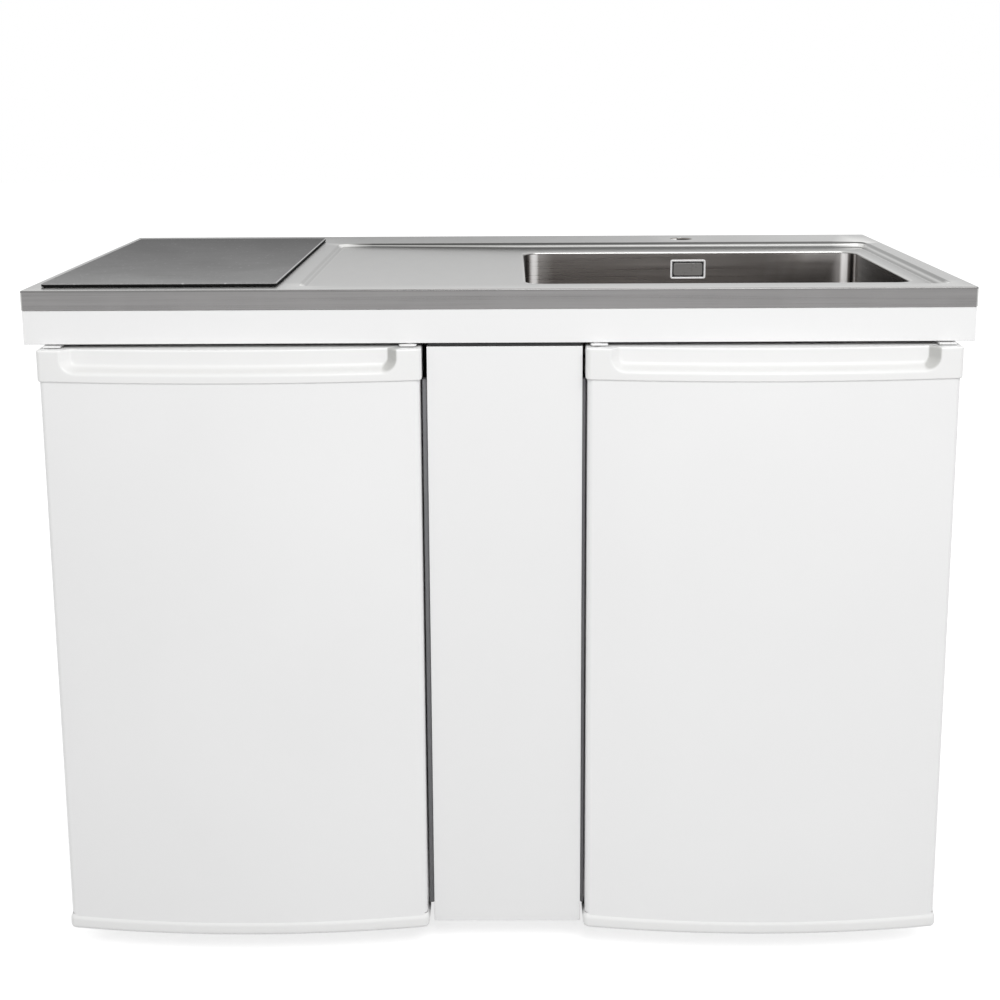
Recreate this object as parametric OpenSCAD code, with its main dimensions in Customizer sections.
// Kitchenette unit: a steel worktop with a hob and a sink, standing on an
// undercounter fridge and a matching cupboard, with a filler panel between them.
// Millimetres, +Z up, the front towards -Y, the origin on the floor at the
// middle of the unit's width and depth.

/* [Worktop] */
// Width of the worktop
worktop_w = 1200; // [1100:5:1300]
// Depth of the worktop, front edge to back edge
worktop_d = 600; // [580:5:660]
// Height of the worktop's surface above the floor
unit_h = 900; // [860:5:960]
// Thickness of the worktop's steel sheet
sheet_t = 1; // [0.8:0.1:1.5]
// Height of the folded steel edge
apron_h = 26; // [24:1:36]
// Width of the fold under the steel edge
return_w = 12; // [8:1:16]
// Depth of the pressed field that drains to the bowl
recess_depth = 9; // [6:0.5:12]
// From the worktop's left edge to the pressed field
recess_left = 343; // [336:1:360]
// From the worktop's right edge to the pressed field
recess_right = 22; // [18:1:30]
// From the worktop's front edge to the pressed field
recess_front = 30; // [22:1:50]
// From the worktop's back edge to the pressed field
recess_back = 100; // [90:1:110]
// Corner radius of the pressed field
recess_r = 14; // [8:1:20]

/* [Sink] */
// Width of the bowl
bowl_w = 513; // [480:1:520]
// Depth of the bowl below the pressed field
bowl_depth = 150; // [130:1:170]
// Corner radius of the bowl
bowl_r = 24; // [20:1:45]
// Width of the sloping edge round the bowl's floor
bowl_foot = 18; // [10:1:30]
// From the worktop's right edge to the bowl
bowl_right = 51; // [46:1:60]
// From the pressed field's front edge to the bowl
bowl_front = 77; // [70:1:90]
// From the pressed field's back edge to the bowl
bowl_back = 47; // [36:1:60]
// Radius of the tap hole
tap_r = 17.5; // [14:0.5:19]
// From the worktop's back edge to the centre of the tap hole
tap_back = 52; // [48:1:58]
// Radius of the hole in the bowl's floor for the waste
waste_r = 45; // [40:1:50]
// Radius of the drain pipe's spigot
spigot_r = 20; // [16:0.5:22]
// From the bowl's floor down to the drain pipe
drain_drop = 141; // [138:1:180]

/* [Hob] */
// Width of the hob's glass
hob_w = 300; // [285:1:304]
// Thickness of the hob's glass
glass_t = 4; // [3:0.5:6]
// Thickness of the seal under the glass
seal_t = 0.8; // [0.5:0.1:2]
// From the worktop's left edge to the glass
hob_left = 18; // [16:1:24]
// From the worktop's front edge to the glass
hob_front = 27; // [22:1:36]
// From the worktop's back edge to the glass
hob_back = 63; // [58:1:90]
// How far the glass reaches past the cut-out on each side
hob_lap = 15; // [12:1:20]
// Depth of the hob's casing below the worktop's surface
casing_depth = 48; // [40:1:52]

/* [Top frame] */
// Height of the white fascia under the steel edge
fascia_h = 43; // [38:1:60]
// Thickness of the boards
board_t = 16; // [15:0.5:19]
// How far the fascia stands back from the steel edge
fascia_inset = 1; // [0.5:0.5:3]
// Thickness of the side rails that rest on the casings
rail_t = 28; // [26:0.5:30]

/* [Fridge, cupboard and filler] */
// From the worktop's left edge to the fridge
left_margin = 21.5; // [15:0.5:30]
// From the cupboard to the worktop's right edge
right_margin = 20.5; // [15:0.5:30]
// Width of the fridge
fridge_w = 479; // [460:1:490]
// Width of the filler panel
filler_w = 197; // [180:1:210]
// Gap between the fridge and the filler panel
left_gap = 8.5; // [6:0.5:12]
// Gap between the filler panel and the cupboard
right_gap = 6; // [5:0.5:12]
// From the fridge's casing to the worktop's back edge
fridge_space = 55; // [45:1:80]
// From the cupboard to the worktop's back edge
cupboard_space = 65; // [45:1:90]
// From the worktop's front edge back to the casings' front
casing_back = 45; // [42:1:55]
// Height of the feet
foot_h = 30; // [20:1:40]
// Thickness of the fridge's side insulation
wall_t = 38; // [30:1:44]
// Thickness of the fridge's plastic liner
liner_t = 1.5; // [1:0.1:2.5]

/* [Doors] */
// From the fascia down to the doors' top
door_top_gap = 5; // [4:0.5:8]
// From the casings' underside up to the doors' lower edge
door_foot_gap = 3; // [2.5:0.5:6]
// Thickness of a door at its side edges
door_t = 46; // [40:1:50]
// How far the middle of a door bows out past its edges
door_bow = 18; // [10:1:24]
// Gap between a door and its casing, which the gasket fills
gasket_t = 12; // [10:0.5:14]
// Thickness of the doors' steel skin
skin_t = 1; // [0.6:0.1:1.5]
// Height of the handle trim
handle_h = 40; // [36:1:50]
// Height of the bottom trim
sill_h = 22; // [18:1:30]
// How far the trims reach past the door at each side
trim_lap = 2.5; // [1:0.5:3]
// Depth of the scooped grip
grip_depth = 15; // [12:0.5:18]
// From the end of the handle trim to the grip
grip_end = 30; // [26:1:40]
// Height of the lip under the grip
grip_lip = 9; // [8:0.5:14]
// From a door's side edge to its hinge pin
pivot_in = 12; // [10:0.5:15]
// Radius of the hinge pins
pin_r = 3; // [2.5:0.25:4]

/* [Hidden] */
// Running clearance of pins and shafts in their holes
run_gap = 0.08;
// Clearance between faces of pieces that move past each other
face_gap = 0.3;

door_lift = casing_back - gasket_t - door_t;
door_lap = 1.5;
door_proud = door_bow + door_lap - door_lift;
front_y = -(worktop_d + door_proud) / 2 + door_proud;
back_y = front_y + worktop_d;
left_x = -worktop_w / 2;
right_x = worktop_w / 2;

frame_top = unit_h - apron_h;
frame_z = frame_top - fascia_h;
door_top = frame_z - door_top_gap;
door_z = foot_h + door_foot_gap;
casing_top = door_top + 1;
casing_y = front_y + casing_back;
door_back = casing_y - gasket_t;
door_edge = door_back - door_t;
handle_z = door_top - handle_h;
skirt_h = 4;
skin_top = handle_z + skirt_h;
sill_top = door_z + sill_h;
skin_z = sill_top - skirt_h;

fridge_x0 = left_x + left_margin;
fridge_x1 = fridge_x0 + fridge_w;
fridge_x = (fridge_x0 + fridge_x1) / 2;
fridge_back = back_y - fridge_space;
filler_x0 = fridge_x1 + left_gap;
filler_x1 = filler_x0 + filler_w;
cupboard_x0 = filler_x1 + right_gap;
cupboard_x1 = right_x - right_margin;
cupboard_back = back_y - cupboard_space;

recess_z = unit_h - recess_depth;
recess = [left_x + recess_left, front_y + recess_front, right_x - recess_right, back_y - recess_back];
bowl_x1 = right_x - bowl_right;
bowl_x0 = bowl_x1 - bowl_w;
bowl_y0 = recess[1] + bowl_front;
bowl_y1 = recess[3] - bowl_back;
bowl_x = (bowl_x0 + bowl_x1) / 2;
bowl_y = (bowl_y0 + bowl_y1) / 2;
bowl_z = recess_z - bowl_depth;
drain_z = bowl_z - drain_drop;
bowl_flange = 8;
tap_y = back_y - tap_back;

upright_xs = [filler_x0 + 1, filler_x1 - 1 - board_t];

hob_x0 = left_x + hob_left;
hob_y0 = front_y + hob_front;
hob_x1 = hob_x0 + hob_w;
hob_y1 = back_y - hob_back;
glass_z = unit_h + seal_t;
hob_casing_z = unit_h - casing_depth;
cutout_gap = 2;

// ---------------------------------------------------------------- helpers

// A box between two corners.
module block(low, high) {
    translate(low) cube(high - low);
}

// Points of an arc, from angle a0 to angle a1.
function arc(x, y, r, a0, a1, n = 6) =
    [for (i = [0:n]) let (a = a0 + (a1 - a0) * i / n) [x + r * cos(a), y + r * sin(a)]];

// Outline of a rectangle with round corners.
function rounded(x0, y0, x1, y1, r) = concat(
    arc(x1 - r, y1 - r, r, 0, 90), arc(x0 + r, y1 - r, r, 90, 180),
    arc(x0 + r, y0 + r, r, 180, 270), arc(x1 - r, y0 + r, r, 270, 360));

// A slab with round corners, from z0 to z1.
module slab(x0, y0, x1, y1, r, z0, z1) {
    translate([0, 0, z0]) linear_extrude(z1 - z0) polygon(rounded(x0, y0, x1, y1, r));
}

// Radius of the arc that rises by bow over a chord.
function bow_radius(chord, bow) = (chord * chord / 4 + bow * bow) / (2 * bow);

// Plan of a bowed door between x0 and x1, drawn in by inset from its front and sides.
function bowed(x0, x1, back, inset = 0, corner = 8) =
    let (r = bow_radius(x1 - x0, door_bow),
         xm = (x0 + x1) / 2,
         ym = door_edge - door_bow + r,
         rf = r - inset,
         c = max(corner - inset, 1),
         half = (x1 - x0) / 2 - inset,
         yc = ym - sqrt(pow(rf - c, 2) - pow(half - c, 2)),
         turn = asin((half - c) / (rf - c)))
    concat([[xm - half, back]],
           arc(xm - half + c, yc, c, 180, 270 - turn, 4),
           arc(xm, ym, rf, 270 - turn, 270 + turn, 24),
           arc(xm + half - c, yc, c, 270 + turn, 360, 4),
           [[xm + half, back]]);

module bowed_slab(x0, x1, back, inset, z0, z1) {
    translate([0, 0, z0]) linear_extrude(z1 - z0) polygon(bowed(x0, x1, back, inset));
}

// ---------------------------------------------------------------- worktop

module recess_slab(grow, z0, z1) {
    slab(recess[0] - grow, recess[1] - grow, recess[2] + grow, recess[3] + grow,
         recess_r + grow, z0, z1);
}

module bowl_slab(grow, z0, z1) {
    slab(bowl_x0 - grow, bowl_y0 - grow, bowl_x1 + grow, bowl_y1 + grow, bowl_r + grow, z0, z1);
}

module hob_cutout(grow, z0, z1) {
    slab(hob_x0 + hob_lap - grow, hob_y0 + hob_lap - grow,
         hob_x1 - hob_lap + grow, hob_y1 - hob_lap + grow, 8, z0, z1);
}

module tap_hole(z0, z1) {
    translate([bowl_x, tap_y, z0]) cylinder(r = tap_r, h = z1 - z0, $fn = 64);
}

module worktop_sheet() {
    color("silver") difference() {
        union() {
            difference() {
                block([left_x, front_y, frame_top], [right_x, back_y, unit_h]);
                block([left_x + sheet_t, front_y + sheet_t, frame_top + sheet_t],
                      [right_x - sheet_t, back_y - sheet_t, unit_h - sheet_t]);
                block([left_x + return_w, front_y + return_w, frame_top - 1],
                      [right_x - return_w, back_y - return_w, frame_top + sheet_t + 1]);
            }
            recess_slab(sheet_t, recess_z - sheet_t, unit_h - sheet_t / 2);
        }
        recess_slab(0, recess_z, unit_h + 1);
        bowl_slab(0, recess_z - sheet_t - 1, recess_z + 1);
        hob_cutout(0, unit_h - sheet_t - 1, unit_h + 1);
        tap_hole(unit_h - sheet_t - 1, unit_h + 1);
    }
}

core_gap = 0.2;
core_x0 = left_x + sheet_t + core_gap;
core_x1 = right_x - sheet_t - core_gap;
core_y0 = front_y + sheet_t + core_gap;
core_y1 = back_y - sheet_t - core_gap;

// Battens of chipboard in the pan, each [x0, y0, x1, y1, top]: round the hob's
// cut-out, round the pressed field, and under the field round the bowl.
function battens() =
    let (top = unit_h - sheet_t,
         low = recess_z - sheet_t,
         wall = sheet_t + core_gap,
         split = 2 * core_gap,
         cut = [hob_x0 + hob_lap, hob_y0 + hob_lap, hob_x1 - hob_lap, hob_y1 - hob_lap],
         rx0 = recess[0] - wall,
         ry0 = recess[1] - wall,
         rx1 = recess[2] + wall,
         ry1 = max(recess[3] + wall, cut[3]),
         bx0 = bowl_x0 - bowl_flange - 2,
         by0 = bowl_y0 - bowl_flange - 2,
         bx1 = bowl_x1 + bowl_flange + 2,
         by1 = bowl_y1 + bowl_flange + 2,
         duct = overflow_w / 2 + 4,
         duct_y = bowl_y1 + duct_d + 5)
    [[core_x0, ry1 + split, core_x1, core_y1, top],
     [core_x0, core_y0, cut[0], ry1, top],
     [cut[0] + split, core_y0, rx0, cut[1], top],
     [cut[2], cut[1] + split, rx0, ry1, top],
     [rx0 + split, core_y0, core_x1, ry0, top],
     [rx1, ry0 + split, core_x1, ry1, top],
     [rx0 + split, recess[3] + wall, rx1 - split, ry1, top],
     [rx0 + split, ry0 + split, bx0, recess[3] + wall - split, low],
     [bx1, ry0 + split, rx1 - split, recess[3] + wall - split, low],
     [bx0 + split, ry0 + split, bx1 - split, by0, low],
     [bx0 + split, by1, bowl_x - duct, recess[3] + wall - split, low],
     [bowl_x + duct, by1, bx1 - split, recess[3] + wall - split, low],
     [bowl_x - duct + split, duct_y, bowl_x + duct - split, recess[3] + wall - split, low]];

module worktop_core() {
    color("tan") difference() {
        for (b = battens())
            block([b[0], b[1], frame_top + sheet_t], [b[2], b[3], b[4]]);
        tap_hole(frame_top, unit_h);
    }
}

// ---------------------------------------------------------------- top frame

module fascia_front() {
    color("white") block(
        [left_x + fascia_inset, front_y + fascia_inset, frame_z],
        [right_x - fascia_inset, front_y + fascia_inset + board_t, frame_top]);
}

wall_hole_r = 3;
wall_hole_spacing = worktop_w - 200;

module frame_back_rail() {
    color("white") difference() {
        block([left_x + fascia_inset, back_y - fascia_inset - board_t, frame_z],
              [right_x - fascia_inset, back_y - fascia_inset, frame_top]);
        for (side = [-1, 1])
            translate([side * wall_hole_spacing / 2, back_y, (frame_z + frame_top) / 2])
                rotate([90, 0, 0]) cylinder(r = wall_hole_r, h = 2 * board_t + 4, $fn = 32);
    }
}

// Left edge and thickness of each rail that runs from front to back.
rails = [
    [left_x + fascia_inset, rail_t],
    [fridge_x1 - board_t - 2, board_t],
    [upright_xs[0], board_t],
    [right_x - fascia_inset - rail_t, rail_t]
];

module frame_rails() {
    for (rail = rails)
        color("white") block(
            [rail[0], front_y + fascia_inset + board_t, frame_z],
            [rail[0] + rail[1], back_y - fascia_inset - board_t, frame_top]);
}

// Strips of rubber between the casings and the rails.
module support_pads() {
    pad_l = 60;
    edge = 1;
    strips = [
        [fridge_x0 + edge, rails[0][0] + rails[0][1] - edge],
        [rails[1][0] + edge, rails[1][0] + rails[1][1] - edge],
        [rails[3][0] + edge, cupboard_x1 - edge]
    ];
    for (strip = strips)
        for (y = [casing_y + 60, cupboard_back - 30 - pad_l])
            color("dimgray") block([strip[0], y, casing_top], [strip[1], y + pad_l, frame_z]);
}

// ---------------------------------------------------------------- sink

bowl_steel = 1;

module bowl_form(grow) {
    union() {
        bowl_slab(grow, bowl_z + bowl_foot, recess_z - sheet_t);
        hull() {
            bowl_slab(grow, bowl_z + bowl_foot - 0.01, bowl_z + bowl_foot);
            bowl_slab(grow - bowl_foot, bowl_z - grow, bowl_z - grow + 0.01);
        }
    }
}

overflow_w = 55;
overflow_h = 30;
overflow_z = recess_z - 28;
overflow_rim = 5;
duct_d = 20;
duct_r = 10;

module sink_bowl() {
    color("silver") difference() {
        union() {
            bowl_form(bowl_steel);
            bowl_slab(bowl_flange, recess_z - sheet_t - bowl_steel, recess_z - sheet_t);
        }
        bowl_form(0);
        bowl_slab(0, recess_z - sheet_t - 0.5, recess_z);
        translate([bowl_x, bowl_y, bowl_z - 5]) cylinder(r = waste_r, h = 10, $fn = 64);
        block([bowl_x - 14, bowl_y1 - 1, overflow_z - 6],
              [bowl_x + 14, bowl_y1 + bowl_steel + 1, overflow_z + 6]);
    }
}

module overflow_plate() {
    color("gainsboro") difference() {
        block([bowl_x - overflow_w / 2, bowl_y1 - 3, overflow_z - overflow_h / 2],
              [bowl_x + overflow_w / 2, bowl_y1, overflow_z + overflow_h / 2]);
        difference() {
            block([bowl_x - overflow_w / 2 + overflow_rim - 2, bowl_y1 - 4,
                   overflow_z - overflow_h / 2 + overflow_rim - 2],
                  [bowl_x + overflow_w / 2 - overflow_rim + 2, bowl_y1 - 1,
                   overflow_z + overflow_h / 2 - overflow_rim + 2]);
            block([bowl_x - overflow_w / 2 + overflow_rim, bowl_y1 - 5,
                   overflow_z - overflow_h / 2 + overflow_rim],
                  [bowl_x + overflow_w / 2 - overflow_rim, bowl_y1,
                   overflow_z + overflow_h / 2 - overflow_rim]);
        }
    }
}

waste_cup_h = 55;
waste_cup_z = bowl_z - waste_cup_h;
waste_cup_r = waste_r + 8;
tail_h = 25;
tail_r = 24;
tail_bore_r = 18;
tail_z = waste_cup_z - tail_h;
boss_l = waste_cup_r + 8;
pipe_z = waste_cup_z + 20;

module overflow_duct() {
    y0 = bowl_y1 + bowl_steel;
    pipe_y = y0 + duct_r + 2;
    color("white") difference() {
        union() {
            block([bowl_x - overflow_w / 2, y0, overflow_z - overflow_h / 2],
                  [bowl_x + overflow_w / 2, y0 + duct_d, overflow_z + overflow_h / 2 - 4]);
            translate([bowl_x, pipe_y, pipe_z])
                cylinder(r = duct_r, h = overflow_z - pipe_z - overflow_h / 2 + 1, $fn = 40);
            translate([bowl_x, bowl_y + boss_l, pipe_z])
                rotate([-90, 0, 0]) cylinder(r = duct_r - 1, h = pipe_y - bowl_y - boss_l, $fn = 40);
        }
        block([bowl_x - overflow_w / 2 + 3, y0 - 1, overflow_z - overflow_h / 2 + 3],
              [bowl_x + overflow_w / 2 - 3, y0 + duct_d - 3, overflow_z + overflow_h / 2 - 7]);
    }
}

flange_lap = 12;
flange_r = waste_r + flange_lap;
flange_t = 2.5;
throat_r = waste_r - 1;
throat_l = 20;
throat_t = 2;

module waste_flange() {
    color("gainsboro") translate([bowl_x, bowl_y, 0]) difference() {
        union() {
            translate([0, 0, bowl_z]) cylinder(r = flange_r, h = flange_t, $fn = 64);
            translate([0, 0, bowl_z - throat_l]) cylinder(r = throat_r, h = throat_l + 1, $fn = 64);
        }
        translate([0, 0, bowl_z - throat_l - 1])
            cylinder(r = throat_r - throat_t, h = throat_l + flange_t + 2, $fn = 64);
    }
}

module waste_body() {
    color("white") translate([bowl_x, bowl_y, 0]) difference() {
        union() {
            translate([0, 0, waste_cup_z]) cylinder(r = waste_cup_r, h = waste_cup_h - bowl_steel, $fn = 64);
            translate([0, 0, tail_z]) cylinder(r = tail_r, h = tail_h + 1, $fn = 48);
            translate([0, 0, pipe_z]) rotate([-90, 0, 0]) cylinder(r = duct_r + 2, h = boss_l, $fn = 40);
        }
        translate([0, 0, waste_cup_z + 4]) cylinder(r = waste_r, h = waste_cup_h, $fn = 64);
        translate([0, 0, tail_z - 1]) cylinder(r = tail_bore_r, h = tail_h + 10, $fn = 48);
    }
}

trap_r = 34;
trap_cup_z = drain_z - 90;
trap_joint_z = drain_z - 40;

module trap_body() {
    color("white") translate([bowl_x, bowl_y, 0]) difference() {
        union() {
            translate([0, 0, trap_joint_z]) cylinder(r = trap_r, h = 75, $fn = 56);
            translate([0, 0, trap_joint_z + 70])
                cylinder(r = tail_bore_r, h = tail_z - trap_joint_z - 70, $fn = 48);
        }
        translate([0, 0, trap_joint_z - 1]) cylinder(r = trap_r - 3, h = 73, $fn = 56);
        translate([0, 0, trap_joint_z]) cylinder(r = 15, h = tail_z - trap_joint_z + 1, $fn = 48);
        translate([0, 0, drain_z]) rotate([-90, 0, 0]) cylinder(r = spigot_r - 3, h = trap_r + 5, $fn = 48);
    }
}

module trap_cup() {
    color("white") translate([bowl_x, bowl_y, 0]) difference() {
        translate([0, 0, trap_cup_z]) cylinder(r = trap_r + 4, h = trap_joint_z - trap_cup_z, $fn = 56);
        translate([0, 0, trap_cup_z + 3]) cylinder(r = trap_r - 3, h = trap_joint_z - trap_cup_z, $fn = 56);
    }
}

spigot_end = back_y - 12;
spigot_l = 36;

module drain_pipe() {
    start = bowl_y + trap_r - 0.5;
    color("white") translate([bowl_x, 0, drain_z]) rotate([-90, 0, 0]) difference() {
        union() {
            translate([0, 0, start]) cylinder(r = spigot_r + 3, h = spigot_end - spigot_l - start, $fn = 48);
            translate([0, 0, start]) cylinder(r = spigot_r, h = spigot_end - start, $fn = 48);
        }
        translate([0, 0, start - 1]) cylinder(r = spigot_r - 2.5, h = spigot_end - start + 2, $fn = 48);
        translate([0, 0, bowl_y]) rotate([90, 0, 0])
            cylinder(r = trap_r, h = 120, center = true, $fn = 56);
    }
}

basket_z = bowl_z + flange_t + face_gap;
basket_r = throat_r - 5;

module strainer_basket() {
    depth = 26;
    color("gainsboro") translate([bowl_x, bowl_y, 0]) {
        difference() {
            union() {
                translate([0, 0, basket_z]) cylinder(r = flange_r - 6, h = 1.5, $fn = 64);
                translate([0, 0, basket_z - depth]) cylinder(r = basket_r, h = depth + 1, $fn = 64);
            }
            translate([0, 0, basket_z - depth + 1.5]) cylinder(r = basket_r - 1.5, h = depth + 5, $fn = 64);
            for (i = [0:9])
                rotate([0, 0, 36 * i]) translate([basket_r * 0.68, 0, basket_z - depth - 1])
                    cylinder(r = 3, h = 4, $fn = 24);
        }
        translate([0, 0, basket_z - depth + 1.4]) cylinder(r = 5, h = depth + 8, $fn = 32);
        translate([0, 0, basket_z + 8]) cylinder(r = 11, h = 5, $fn = 40);
    }
}

// ---------------------------------------------------------------- hob

module hob_glass() {
    color("dimgray") slab(hob_x0, hob_y0, hob_x1, hob_y1, 4, glass_z, glass_z + glass_t);
}

module hob_seal() {
    inset = 2;
    width = 8;
    color("black") difference() {
        slab(hob_x0 + inset, hob_y0 + inset, hob_x1 - inset, hob_y1 - inset, 4, unit_h, glass_z);
        slab(hob_x0 + inset + width, hob_y0 + inset + width,
             hob_x1 - inset - width, hob_y1 - inset - width, 2, unit_h - 1, glass_z + 1);
    }
}

casing_side = hob_lap + cutout_gap;
casing_steel = 1;

module hob_casing_slab(inset, z0, z1) {
    slab(hob_x0 + casing_side + inset, hob_y0 + casing_side + inset,
         hob_x1 - casing_side - inset, hob_y1 - casing_side - inset, 6, z0, z1);
}

module hob_casing() {
    gland_r = 9;
    gland_h = 10;
    color("silver") difference() {
        union() {
            hob_casing_slab(0, hob_casing_z, glass_z);
            translate([(hob_x0 + hob_x1) / 2, hob_y1 - 60, hob_casing_z - gland_h])
                cylinder(r = gland_r, h = gland_h + casing_steel, $fn = 40);
        }
        hob_casing_slab(casing_steel, hob_casing_z + casing_steel, glass_z + 1);
    }
}

// Radius of each heating zone, and its place as a share of the glass's depth.
hob_zone_r = [88, 70];
hob_zone_share = [0.37, 0.765];

module hob_zones() {
    floor_z = hob_casing_z + casing_steel;
    coil_h = 14;
    hob_x = (hob_x0 + hob_x1) / 2;
    for (i = [0:1])
        color("sandybrown") translate([hob_x, hob_y0 + hob_zone_share[i] * (hob_y1 - hob_y0), 0]) {
            translate([0, 0, glass_z - face_gap - coil_h]) cylinder(r = hob_zone_r[i], h = coil_h, $fn = 72);
            translate([0, 0, floor_z]) cylinder(r = 14, h = glass_z - coil_h - floor_z, $fn = 32);
        }
}

module hob_control_board() {
    board = [220, 50, 1.6];
    floor_z = hob_casing_z + casing_steel;
    board_z = glass_z - 12;
    x0 = (hob_x0 + hob_x1 - board[0]) / 2;
    y0 = hob_y0 + casing_side + 12;
    color("darkgreen") {
        block([x0, y0, board_z], [x0 + board[0], y0 + board[1], board_z + board[2]]);
        for (x = [10, board[0] - 10])
            for (y = [10, board[1] - 10])
                translate([x0 + x, y0 + y, floor_z]) cylinder(r = 3, h = board_z - floor_z + 0.5, $fn = 24);
        for (x = [50, 90, 130, 170])
            block([x0 + x - 6, y0 + 19, board_z + board[2] - 0.2], [x0 + x + 6, y0 + 31, glass_z - 1]);
    }
}

module hob_clamps() {
    arm = 14;
    width = 20;
    top = frame_top + sheet_t;
    for (x = [hob_x0 + 70, hob_x1 - 70 - width])
        for (end = [0, 1])
            let (y = end == 0 ? hob_y0 + casing_side : hob_y1 - casing_side,
                 out = end == 0 ? -1 : 1,
                 y_out = y + out * arm,
                 y_leg = y + out * 2)
            color("silver") {
                block([x, min(y, y_out), top - 2], [x + width, max(y, y_out), top]);
                block([x, min(y, y_leg), top - 18], [x + width, max(y, y_leg), top - 1]);
            }
}

// ---------------------------------------------------------------- fridge

casing_t = 1;
niche_d = 170;
niche_h = 190;
cavity_x0 = fridge_x0 + wall_t;
cavity_x1 = fridge_x1 - wall_t;
cavity_back = fridge_back - wall_t - 7;
cavity_z = foot_h + wall_t + 7;
cavity_top = casing_top - wall_t - 7;
cavity_step_z = foot_h + niche_h + wall_t;
cavity_step_y = fridge_back - niche_d - wall_t;

module casing_form(inset, front) {
    difference() {
        block([fridge_x0 + inset, front, foot_h + inset],
              [fridge_x1 - inset, fridge_back - inset, casing_top - inset]);
        block([fridge_x0 + casing_t - inset, fridge_back - niche_d - inset, foot_h - 1],
              [fridge_x1 - casing_t + inset, fridge_back + 1, foot_h + niche_h + inset]);
    }
}

module cavity_form(grow, front) {
    union() {
        block([cavity_x0 - grow, front, cavity_step_z - grow],
              [cavity_x1 + grow, cavity_back + grow, cavity_top + grow]);
        block([cavity_x0 - grow, front, cavity_z - grow],
              [cavity_x1 + grow, cavity_step_y + grow, cavity_step_z + 1]);
    }
}

module fridge_casing() {
    color("dimgray") difference() {
        casing_form(0, casing_y);
        casing_form(casing_t, casing_y - 1);
    }
}

module fridge_insulation() {
    color("khaki") difference() {
        casing_form(casing_t, casing_y + liner_t);
        cavity_form(liner_t, casing_y);
    }
}

ice_h = 130;
ice_t = 3;
ice_set_back = 175;
ice_side_gap = 12;
ice = [cavity_x0 + ice_side_gap, casing_y + ice_set_back, cavity_top - ice_h,
       cavity_x1 - ice_side_gap, cavity_back - 2, cavity_top];

thermo_size = [42, 110, 58];
thermo_set_back = 112;
thermo_drop = 14;
thermo = [cavity_x1 - thermo_size[0], casing_y + thermo_set_back, ice[2] - thermo_drop - thermo_size[2],
          cavity_x1, casing_y + thermo_set_back + thermo_size[1], ice[2] - thermo_drop];

shelf_headroom = 52;
shelf_pitch = (thermo[2] - shelf_headroom - cavity_step_z) / 2;
shelf_z = [for (i = [0:2]) cavity_step_z + i * shelf_pitch];
shelf_front = casing_y + 95;
rib_w = 8;
rib_h = 5;

module fridge_liner() {
    color("whitesmoke") {
        difference() {
            union() {
                cavity_form(liner_t, casing_y);
                block([fridge_x0 + casing_t, casing_y, foot_h + casing_t],
                      [fridge_x1 - casing_t, casing_y + liner_t, casing_top - casing_t]);
            }
            cavity_form(0, casing_y - 1);
        }
        for (i = [0:2])
            for (side = [0, 1])
                let (x0 = side == 0 ? cavity_x0 - liner_t / 2 : cavity_x1 - rib_w,
                     x1 = side == 0 ? cavity_x0 + rib_w : cavity_x1 + liner_t / 2)
                block([x0, shelf_front - 10, shelf_z[i] - rib_h],
                      [x1, i == 0 ? cavity_step_y : cavity_back, shelf_z[i]]);
    }
}

module fridge_shelves() {
    shelf_t = 4;
    trim = 6;
    for (z = shelf_z)
        color("lightblue") {
            block([cavity_x0 + 1, shelf_front, z], [cavity_x1 - 1, cavity_back - 3, z + shelf_t]);
            block([cavity_x0 + 1, shelf_front - trim, z],
                  [cavity_x1 - 1, shelf_front + 1, z + shelf_t + trim]);
        }
}

crisper_wall = 2.5;
crisper_side_gap = 8;
crisper_back_gap = 4;
crisper_headroom = 14;
crisper_set_back = 78;
crisper = [cavity_x0 + crisper_side_gap, casing_y + crisper_set_back, cavity_z,
           cavity_x1 - crisper_side_gap, cavity_step_y - crisper_back_gap, cavity_step_z - crisper_headroom];

module crisper_drawer() {
    pull = 12;
    pull_half = 60;
    color("lightblue") difference() {
        union() {
            block([crisper[0], crisper[1], crisper[2]], [crisper[3], crisper[4], crisper[5]]);
            block([fridge_x - pull_half, crisper[1] - pull, crisper[5] - 24],
                  [fridge_x + pull_half, crisper[1] + 1, crisper[5] - 8]);
        }
        block([crisper[0] + crisper_wall, crisper[1] + crisper_wall, crisper[2] + crisper_wall],
              [crisper[3] - crisper_wall, crisper[4] - crisper_wall, crisper[5] + 1]);
    }
}

flap_t = 4;
flap_y = ice[1] + 6;
flap_pin_r = 2.5;
flap_pin_z = ice[5] - ice_t - 8;
flap_side_gap = 0.6;

module ice_box() {
    color("aliceblue") difference() {
        block([ice[0], ice[1], ice[2]], [ice[3], ice[4], ice[5]]);
        block([ice[0] + ice_t, ice[1] - 1, ice[2] + ice_t], [ice[3] - ice_t, ice[4] - ice_t, ice[5] - ice_t]);
        translate([ice[0] - 1, flap_y, flap_pin_z]) rotate([0, 90, 0])
            cylinder(r = flap_pin_r + run_gap, h = ice[3] - ice[0] + 2, $fn = 40);
    }
}

module ice_box_flap() {
    x0 = ice[0] + ice_t + flap_side_gap;
    x1 = ice[3] - ice_t - flap_side_gap;
    knuckle_r = 5;
    color("white") {
        block([x0, flap_y - flap_t / 2, ice[2] + ice_t + 1.5], [x1, flap_y + flap_t / 2, flap_pin_z]);
        translate([x0, flap_y, flap_pin_z]) rotate([0, 90, 0])
            cylinder(r = knuckle_r, h = x1 - x0, $fn = 40);
        translate([ice[0] + 0.3, flap_y, flap_pin_z]) rotate([0, 90, 0])
            cylinder(r = flap_pin_r, h = ice[3] - ice[0] - 0.6, $fn = 40);
    }
}

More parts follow.
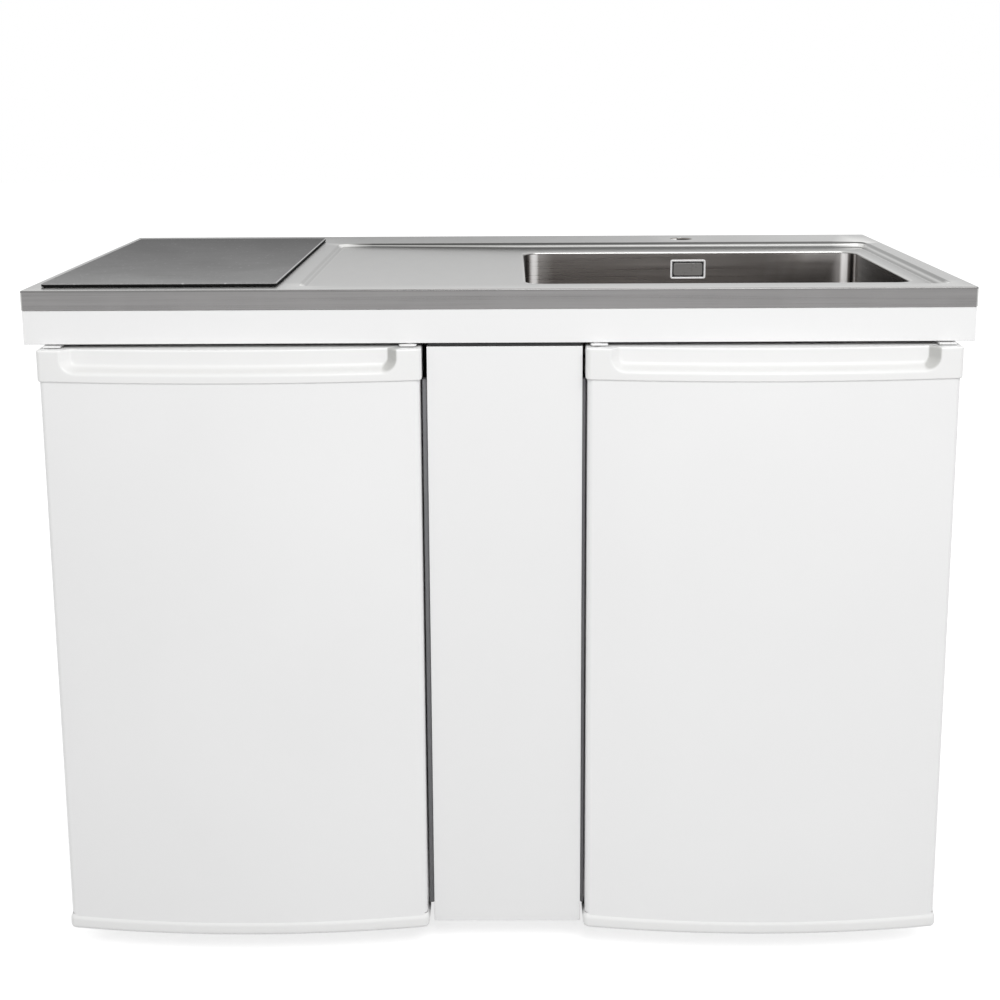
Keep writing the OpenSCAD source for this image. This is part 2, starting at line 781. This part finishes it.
knob_x = (thermo[0] + thermo[3]) / 2;
knob_z = (thermo[2] + thermo[5]) / 2;
knob_shaft_r = 3;
knob_r = 16;

module thermostat_housing() {
    color("whitesmoke") difference() {
        block([thermo[0], thermo[1], thermo[2]], [thermo[3], thermo[4], thermo[5]]);
        translate([knob_x, thermo[1] - 1, knob_z]) rotate([-90, 0, 0])
            cylinder(r = knob_shaft_r + run_gap, h = 17, $fn = 40);
    }
}

module thermostat_knob() {
    knob_h = 13;
    grip_w = 7;
    color("white") difference() {
        union() {
            translate([knob_x, thermo[1] - face_gap, knob_z]) rotate([90, 0, 0])
                cylinder(r = knob_r, h = knob_h, $fn = 56);
            translate([knob_x, thermo[1] + 14, knob_z]) rotate([90, 0, 0])
                cylinder(r = knob_shaft_r, h = 15, $fn = 40);
        }
        for (side = [-1, 1])
            translate([knob_x + side * (grip_w / 2 + knob_r), thermo[1] - face_gap - knob_h, knob_z])
                cube([2 * knob_r, 2 * knob_h - 8, 4 * knob_r], center = true);
    }
}

module fridge_lamp() {
    color("lightyellow") block([thermo[0] - 7, thermo[1] + 50, thermo[2] + 10],
                               [thermo[0], thermo[1] + 100, thermo[5] - 10]);
}

tray_t = 3;
pot_r = 62;
pot_h = 128;
pot_y = fridge_back - niche_d / 2;

module compressor() {
    round_r = 26;
    color("darkslategray") translate([fridge_x, pot_y, foot_h + tray_t]) {
        translate([0, 0, 12]) rotate_extrude($fn = 72) polygon(concat(
            [[0, 0]], arc(pot_r - round_r, round_r, round_r, -90, 0),
            arc(pot_r - round_r, pot_h - round_r, round_r, 0, 90), [[0, pot_h]]));
        block([-85, -45, 8], [85, 45, 13]);
        for (x = [-72, 72])
            for (y = [-34, 34])
                translate([x, y, 0]) cylinder(r = 9, h = 10, $fn = 32);
        block([pot_r - 8, -24, 50], [pot_r + 26, 24, 100]);
    }
}

// The tray's floor, and a cheek at each end that stiffens the casing's side.
module compressor_tray() {
    x0 = fridge_x0 + casing_t;
    x1 = fridge_x1 - casing_t;
    y0 = fridge_back - niche_d;
    color("gray") {
        block([x0, y0, foot_h], [x1, fridge_back, foot_h + tray_t]);
        for (x = [x0, x1 - tray_t])
            block([x, y0, foot_h], [x + tray_t, fridge_back, foot_h + niche_h]);
    }
}

tube_r = 2.5;
coil_runs = 9;
coil_x0 = fridge_x0 + 70;
coil_x1 = fridge_x1 - 70;
coil_y = fridge_back + 12;
coil_z = foot_h + niche_h + 60;
coil_top_space = 83;
coil_pitch = (casing_top - coil_top_space - coil_z) / (coil_runs - 1);

module condenser() {
    sheet_y = coil_y + tube_r - 0.5;
    top = coil_z + (coil_runs - 1) * coil_pitch;
    color("black") {
        for (i = [0:coil_runs - 1])
            translate([coil_x0, coil_y, coil_z + i * coil_pitch]) rotate([0, 90, 0])
                cylinder(r = tube_r, h = coil_x1 - coil_x0, $fn = 16);
        for (i = [0:coil_runs - 2])
            translate([i % 2 == 0 ? coil_x1 : coil_x0, coil_y, coil_z + (i + 0.5) * coil_pitch])
                rotate([90, i % 2 == 0 ? 90 : -90, 0])
                rotate_extrude(angle = 180, $fn = 40)
                translate([coil_pitch / 2, 0]) circle(r = tube_r, $fn = 16);
        block([coil_x0 + 8, sheet_y, coil_z - 20], [coil_x1 - 8, sheet_y + 1, top + 20]);
        for (x = [coil_x0 + 14, coil_x1 - 34])
            for (z = [coil_z + coil_pitch / 2, top - coil_pitch / 2])
                block([x, fridge_back, z - 8], [x + 20, sheet_y + 0.5, z + 8]);
    }
}

// ---------------------------------------------------------------- doors

trim_corner = 7;

// Plan of a door's trims: the door's plan, wider by trim_lap and proud by door_lap.
function trim_plan(x0, x1, inset = 0) =
    [for (p = bowed(x0 - trim_lap, x1 + trim_lap, door_back + door_lap, inset, trim_corner))
        [p[0], p[1] - door_lap]];

module trim_slab(x0, x1, z0, z1) {
    translate([0, 0, z0]) linear_extrude(z1 - z0) polygon(trim_plan(x0, x1));
}

module hinge_bore(x, z0, z1) {
    translate([x, pivot_y, z0]) cylinder(r = pin_r + run_gap, h = z1 - z0, $fn = 48);
}

pivot_y = door_edge + 22;
pin_l = 15;
fridge_pivot_x = fridge_x0 + pivot_in;
cupboard_pivot_x = cupboard_x1 - pivot_in;

module door_skin(x0, x1) {
    difference() {
        bowed_slab(x0, x1, door_back, 0, skin_z, skin_top);
        bowed_slab(x0, x1, door_back + 1, skin_t, skin_z - 1, skin_top + 1);
    }
}

panel_t = 2;

module door_core(x0, x1) {
    bowed_slab(x0, x1, door_back - panel_t, skin_t, skin_z, skin_top);
}

// The scooped grip: a band behind the trim's front face, open at the top, with
// sloping ends and round lower corners.
module grip_cut(x0, x1) {
    mid = (x0 + x1) / 2;
    half = (x1 - x0) / 2 + trim_lap;
    r = bow_radius(2 * half, door_bow);
    floor_z = handle_z + grip_lip;
    round_r = 12;
    intersection() {
        translate([0, 0, floor_z - 1]) linear_extrude(handle_h) difference() {
            polygon([[mid - half + grip_end, door_edge - 60], [mid + half - grip_end, door_edge - 60],
                     [mid + half - grip_end, door_edge - door_lap - 2],
                     [mid + half - grip_end - 2 * grip_depth, door_edge + grip_depth + 2],
                     [mid - half + grip_end + 2 * grip_depth, door_edge + grip_depth + 2],
                     [mid - half + grip_end, door_edge - door_lap - 2]]);
            translate([mid, door_edge - door_lap - door_bow + r])
                circle(r = r - grip_depth, $fn = 720);
        }
        translate([0, door_edge + 80, 0]) rotate([90, 0, 0]) linear_extrude(200)
            polygon(concat([[mid + half, door_top + 20], [mid - half, door_top + 20],
                            [mid - half, floor_z + round_r + 6]],
                           arc(mid - half + grip_end + round_r, floor_z + round_r, round_r, 180, 270),
                           arc(mid + half - grip_end - round_r, floor_z + round_r, round_r, 270, 360),
                           [[mid + half, floor_z + round_r + 6]]));
    }
}

module handle_trim(x0, x1) {
    difference() {
        trim_slab(x0, x1, handle_z, door_top);
        bowed_slab(x0, x1, door_back + 1, 0, handle_z - 1, skin_top);
        grip_cut(x0, x1);
        for (x = [x0 + pivot_in, x1 - pivot_in])
            hinge_bore(x, door_top - pin_l - 2, door_top + 1);
    }
}

module bottom_trim(x0, x1) {
    round_r = 6;
    a = x0 - trim_lap;
    b = x1 + trim_lap;
    difference() {
        intersection() {
            trim_slab(x0, x1, door_z, sill_top);
            translate([0, door_back + 20, 0]) rotate([90, 0, 0]) linear_extrude(200)
                polygon(concat(arc(a + round_r, door_z + round_r, round_r, 180, 270),
                               arc(b - round_r, door_z + round_r, round_r, 270, 360),
                               [[b, sill_top + 1], [a, sill_top + 1]]));
        }
        bowed_slab(x0, x1, door_back + 1, 0, skin_z, sill_top + 1);
        for (x = [x0 + pivot_in, x1 - pivot_in])
            hinge_bore(x, door_z - 1, door_z + pin_l);
    }
}

seal_in = pivot_in + 2;
seal_w = 12;

module door_gasket(x0, x1) {
    difference() {
        block([x0 + seal_in, door_back, door_z + seal_in],
              [x1 - seal_in, casing_y - face_gap, door_top - seal_in]);
        block([x0 + seal_in + seal_w, door_back - 1, door_z + seal_in + seal_w],
              [x1 - seal_in - seal_w, casing_y + 1, door_top - seal_in - seal_w]);
    }
}

hinge_plate_t = 2.5;
hinge_nose = 11;
hinge_side = 8;
hinge_tail = 14;
hinge_reach = 45;
hinge_collar_r = 6;

// Hinge brackets over and under a door; dir is +1 where the door reaches right.
module door_hinges(x, dir) {
    lo = min(x - dir * hinge_side, x + dir * hinge_tail);
    hi = max(x - dir * hinge_side, x + dir * hinge_tail);
    color("white") {
        block([lo, pivot_y - hinge_nose, casing_top],
              [hi, casing_y + hinge_reach, casing_top + hinge_plate_t]);
        translate([x, pivot_y, door_top - pin_l])
            cylinder(r = pin_r, h = casing_top + 1 - door_top + pin_l, $fn = 48);
        block([lo, pivot_y - hinge_nose, foot_h - hinge_plate_t], [hi, casing_y + hinge_reach, foot_h]);
        translate([x, pivot_y, foot_h - 1]) {
            cylinder(r = pin_r, h = door_z + pin_l - 3 - foot_h, $fn = 48);
            cylinder(r = hinge_collar_r, h = 1 + door_foot_gap - face_gap, $fn = 48);
        }
    }
}

module fridge_door_skin() {
    color("white") door_skin(fridge_x0, fridge_x1);
}

module fridge_door_foam() {
    color("khaki") door_core(fridge_x0, fridge_x1);
}

dyke_in = 14;
dyke_t = 8;
dyke_reach = 45;
dyke_z0 = cavity_z + 45;
dyke_z1 = cavity_top - 40;
dyke_x0 = cavity_x0 + dyke_in;
dyke_x1 = cavity_x1 - dyke_in;

module fridge_door_panel() {
    color("whitesmoke") {
        block([fridge_x0 + skin_t, door_back - panel_t, skin_z], [fridge_x1 - skin_t, door_back, skin_top]);
        for (x = [dyke_x0, dyke_x1 - dyke_t])
            block([x, door_back - 0.5, dyke_z0], [x + dyke_t, casing_y + dyke_reach, dyke_z1]);
    }
}

bin_t = 2;
bin_h = 70;
bin_foot = 8;
bin_headroom = 154;
bin_pitch = (dyke_z1 - dyke_z0 - bin_h - bin_foot - bin_headroom) / 2;
bin_z = [for (i = [0:2]) dyke_z0 + bin_foot + i * bin_pitch];
bin_x0 = dyke_x0 + dyke_t;
bin_x1 = dyke_x1 - dyke_t;

module fridge_door_bins() {
    for (z = bin_z)
        color("lightblue") difference() {
            block([bin_x0, door_back, z], [bin_x1, casing_y + dyke_reach, z + bin_h]);
            block([bin_x0 + bin_t, door_back + bin_t, z + bin_t],
                  [bin_x1 - bin_t, casing_y + dyke_reach - bin_t, z + bin_h + 1]);
        }
}

module fridge_door_gasket() {
    color("black") door_gasket(fridge_x0, fridge_x1);
}

module fridge_door_handle() {
    color("white") handle_trim(fridge_x0, fridge_x1);
}

module fridge_door_sill() {
    color("white") bottom_trim(fridge_x0, fridge_x1);
}

module fridge_hinges() {
    door_hinges(fridge_pivot_x, 1);
}

// ---------------------------------------------------------------- cupboard

// The notch for the bowl in an upright board whose left face is at x.
module bowl_notch(x) {
    clear = 12;
    block([x - 1, bowl_y0 - clear, bowl_z - clear], [x + board_t + 1, bowl_y1 + duct_d + clear, frame_z + 1]);
}

module cupboard_left_side() {
    color("dimgray") difference() {
        block([cupboard_x0, casing_y, foot_h], [cupboard_x0 + board_t, cupboard_back, casing_top]);
        bowl_notch(cupboard_x0);
    }
}

module cupboard_right_side() {
    color("dimgray") block([cupboard_x1 - board_t, casing_y, foot_h],
                           [cupboard_x1, cupboard_back, casing_top]);
}

module cupboard_base() {
    color("white") block([cupboard_x0 + board_t, casing_y, foot_h],
                         [cupboard_x1 - board_t, cupboard_back, foot_h + board_t]);
}

back_t = 6;

module cupboard_back_panel() {
    clear = 5;
    color("white") difference() {
        block([cupboard_x0 + board_t, cupboard_back - back_t, foot_h + board_t],
              [cupboard_x1 - board_t, cupboard_back, casing_top]);
        translate([bowl_x, cupboard_back + 1, drain_z]) rotate([90, 0, 0])
            cylinder(r = spigot_r + 3 + clear, h = back_t + 2, $fn = 48);
    }
}

rail_h = 50;

module cupboard_rails() {
    for (y = [casing_y, cupboard_back - back_t - board_t])
        color("white") block([cupboard_x0 + board_t, y, casing_top - rail_h],
                             [cupboard_x1 - board_t, y + board_t, casing_top]);
}

cupboard_shelf_z = 320;
cupboard_shelf_set_back = 110;
cupboard_shelf_y = casing_y + cupboard_shelf_set_back;

module cupboard_shelf() {
    color("white") block([cupboard_x0 + board_t + 1, cupboard_shelf_y, cupboard_shelf_z],
                         [cupboard_x1 - board_t - 1, cupboard_back - back_t - 1, cupboard_shelf_z + board_t]);
}

peg_l = 10;
peg_w = 8;
peg_h = 7;
peg_front = 30;
peg_back = 60;

module shelf_pegs() {
    for (x = [cupboard_x0 + board_t, cupboard_x1 - board_t - peg_l])
        for (y = [cupboard_shelf_y + peg_front, cupboard_back - back_t - peg_back])
            color("silver") block([x, y, cupboard_shelf_z - peg_h], [x + peg_l, y + peg_w, cupboard_shelf_z]);
}

module cupboard_hinges() {
    door_hinges(cupboard_pivot_x, -1);
}

module cupboard_door_skin() {
    color("white") door_skin(cupboard_x0, cupboard_x1);
}

module cupboard_door_core() {
    color("khaki") door_core(cupboard_x0, cupboard_x1);
}

module cupboard_door_panel() {
    color("white") block([cupboard_x0 + skin_t, door_back - panel_t, skin_z],
                         [cupboard_x1 - skin_t, door_back, skin_top]);
}

module cupboard_door_seal() {
    color("black") door_gasket(cupboard_x0, cupboard_x1);
}

module cupboard_door_handle() {
    color("white") handle_trim(cupboard_x0, cupboard_x1);
}

module cupboard_door_sill() {
    color("white") bottom_trim(cupboard_x0, cupboard_x1);
}

// ---------------------------------------------------------------- filler

filler_inset = 2;
filler_back = front_y + filler_inset + board_t;
filler_z = foot_h + 4;

module filler_panel() {
    color("white") block([filler_x0, front_y + filler_inset, filler_z], [filler_x1, filler_back, door_top]);
}

module filler_frame() {
    color("white") {
        block([upright_xs[0], filler_back, foot_h], [upright_xs[0] + board_t, cupboard_back, frame_z]);
        difference() {
            block([upright_xs[1], filler_back, foot_h], [upright_xs[1] + board_t, cupboard_back, frame_z]);
            bowl_notch(upright_xs[1]);
        }
        block([upright_xs[0] + board_t - 1, filler_back, foot_h],
              [upright_xs[1] + 1, cupboard_back, foot_h + board_t]);
    }
}

module filler_brackets() {
    leg = 34;
    leg_t = 2;
    for (z = [filler_z + 60, door_top - 120])
        for (side = [0, 1])
            let (x = upright_xs[side] + (side == 0 ? board_t : 0),
                 x_leg = x + (side == 0 ? leg : -leg),
                 x_face = x + (side == 0 ? leg_t : -leg_t))
            color("silver") {
                block([min(x, x_leg), filler_back, z], [max(x, x_leg), filler_back + leg_t, z + leg]);
                block([min(x, x_face), filler_back, z], [max(x, x_face), filler_back + leg, z + leg]);
            }
}

module levelling_feet() {
    foot_r = 16;
    pad_h = 6;
    stem_r = 5;
    inset = foot_r + 8;
    front = casing_y + 78;
    xs = [fridge_x0 + inset, fridge_x1 - inset, cupboard_x0 + inset, cupboard_x1 - inset,
          (upright_xs[0] + upright_xs[1] + board_t) / 2];
    for (x = xs)
        for (y = [front, cupboard_back - inset])
            color("dimgray") translate([x, y, 0]) {
                cylinder(r = foot_r, h = pad_h, $fn = 40);
                cylinder(r = stem_r, h = foot_h, $fn = 24);
            }
}

worktop_sheet();
worktop_core();
fascia_front();
frame_rails();
frame_back_rail();
support_pads();
sink_bowl();
overflow_plate();
overflow_duct();
waste_flange();
waste_body();
trap_body();
trap_cup();
drain_pipe();
strainer_basket();
hob_glass();
hob_seal();
hob_casing();
hob_zones();
hob_control_board();
hob_clamps();
fridge_casing();
fridge_insulation();
fridge_liner();
fridge_shelves();
crisper_drawer();
ice_box();
ice_box_flap();
thermostat_housing();
thermostat_knob();
fridge_lamp();
compressor();
compressor_tray();
condenser();
fridge_door_skin();
fridge_door_foam();
fridge_door_panel();
fridge_door_bins();
fridge_door_gasket();
fridge_door_handle();
fridge_door_sill();
fridge_hinges();
cupboard_left_side();
cupboard_right_side();
cupboard_base();
cupboard_back_panel();
cupboard_rails();
cupboard_shelf();
shelf_pegs();
cupboard_hinges();
cupboard_door_skin();
cupboard_door_core();
cupboard_door_panel();
cupboard_door_seal();
cupboard_door_handle();
cupboard_door_sill();
filler_panel();
filler_frame();
filler_brackets();
levelling_feet();
